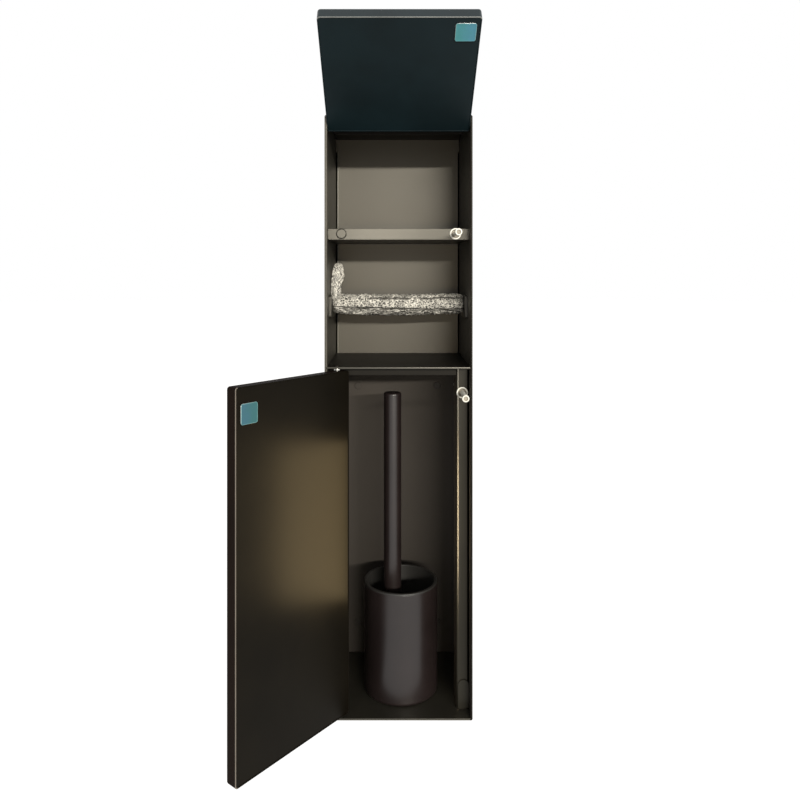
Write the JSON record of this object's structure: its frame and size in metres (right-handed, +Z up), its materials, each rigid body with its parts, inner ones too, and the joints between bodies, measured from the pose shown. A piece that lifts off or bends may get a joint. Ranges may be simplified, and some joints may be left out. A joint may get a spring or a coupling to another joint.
{
  "type": "recessed toilet paper and brush cabinet",
  "caption": "Tall narrow recessed wall case with a lift-up flap, an open paper roll niche on a slotted rod, and a hinged lower door over a toilet brush and pot.",
  "frame": {"origin": "middle of the case's underside", "axes": "+X is the viewer's right facing the case, +Y runs into the wall, +Z is up"},
  "size_m": [0.2417, 0.252, 0.7321],
  "materials": {
    "black_coat": "satin black powder coat",
    "matte_black_coat": "matte black coat",
    "black_plastic": "fine matte moulded",
    "white_plastic": "smooth white moulded",
    "bright_steel": "bright turned steel",
    "striker_steel": "flat steel plate",
    "teal_film": "peel-off protective film",
    "clear_film": "crumpled clear bubble film",
    "black_bristle": "stiff nylon bristle"
  },
  "bodies": {
    "case": {"left_wall": "black_coat", "right_wall": "black_coat", "top_plate": "black_coat", "bottom_plate": "black_coat", "back_plate": "black_coat", "shelf": "black_coat", "niche_floor": "black_coat", "door_stop_rail": "black_coat", "latch_post": "black_coat", "door_stop_tab": "black_coat", "door_top_pin": "bright_steel", "door_bottom_pin": "bright_steel", "door_top_washer": "bright_steel", "door_bottom_washer": "bright_steel", "flap_hinge_pins": "bright_steel", "flap_hinge_washers": "bright_steel", "shelf_latch_body": "white_plastic", "shelf_latch_spring": "bright_steel", "door_latch_body": "white_plastic", "door_latch_spring": "bright_steel", "lip_plug": "black_plastic", "left_roll_bracket": "black_coat", "right_roll_bracket": "black_coat"},
    "flap": {"flap_pan": "black_coat", "flap_inner_panel": "black_coat", "flap_hinge_bushes": "black_plastic", "flap_striker": "striker_steel", "flap_striker_film": "teal_film"},
    "door": {"door_pan": "black_coat", "door_inner_panel": "black_coat", "door_hinge_bushes": "black_plastic", "door_striker": "striker_steel", "door_striker_film": "teal_film"},
    "shelf_plunger": {"shelf_latch_plunger": "white_plastic", "shelf_latch_tip": "white_plastic"},
    "door_plunger": {"door_latch_plunger": "white_plastic", "door_latch_tip": "white_plastic"},
    "roll_rod": {"roll_rod": "black_coat", "left_rod_cap": "black_plastic", "right_rod_cap": "black_plastic", "bubble_wrap": "clear_film"},
    "brush_pot": {"pot_shell": "matte_black_coat", "pot_liner": "black_plastic"},
    "brush": {"brush_handle": "matte_black_coat", "brush_handle_cap": "matte_black_coat", "brush_stem": "matte_black_coat", "brush_core": "black_plastic", "brush_bristles": "black_bristle"}
  },
  "joints": [
    {"name": "flap_hinge", "type": "hinge", "parent": "case", "child": "flap", "pos_m": [0, -0.063, 0.647], "axis": [1, 0, 0], "range_deg": [0, 125.9]},
    {"name": "door_hinge", "type": "hinge", "parent": "case", "child": "door", "pos_m": [-0.067, -0.065, 0.0046], "axis": [0, 0, 1], "range_deg": [0, 129.54]},
    {"name": "shelf_latch_slide", "type": "slide", "parent": "case", "child": "shelf_plunger", "axis": [0, 1, 0], "range_m": [0, 0.0377], "deforming": ["shelf_latch_spring"]},
    {"name": "door_latch_slide", "type": "slide", "parent": "case", "child": "door_plunger", "axis": [0, 1, 0], "range_m": [0, 0.0377], "deforming": ["door_latch_spring"]},
    {"name": "roll_rod_lift", "type": "slide", "parent": "case", "child": "roll_rod", "axis": [0, 0, 1], "range_m": [0, 0.022]},
    {"name": "pot_slide", "type": "slide", "parent": "case", "child": "brush_pot", "axis": [0, 1, 0], "range_m": [-0.0045, 0.03]},
    {"name": "brush_lift", "type": "slide", "parent": "brush_pot", "child": "brush", "axis": [0, 0, 1], "range_m": [0, 0.03]}
  ],
  "couplings": [
    {"joint": "shelf_latch_slide", "follows": "flap_hinge", "m_per_rad": 0.017066},
    {"joint": "door_latch_slide", "follows": "door_hinge", "m_per_rad": 0.016586}
  ]
}
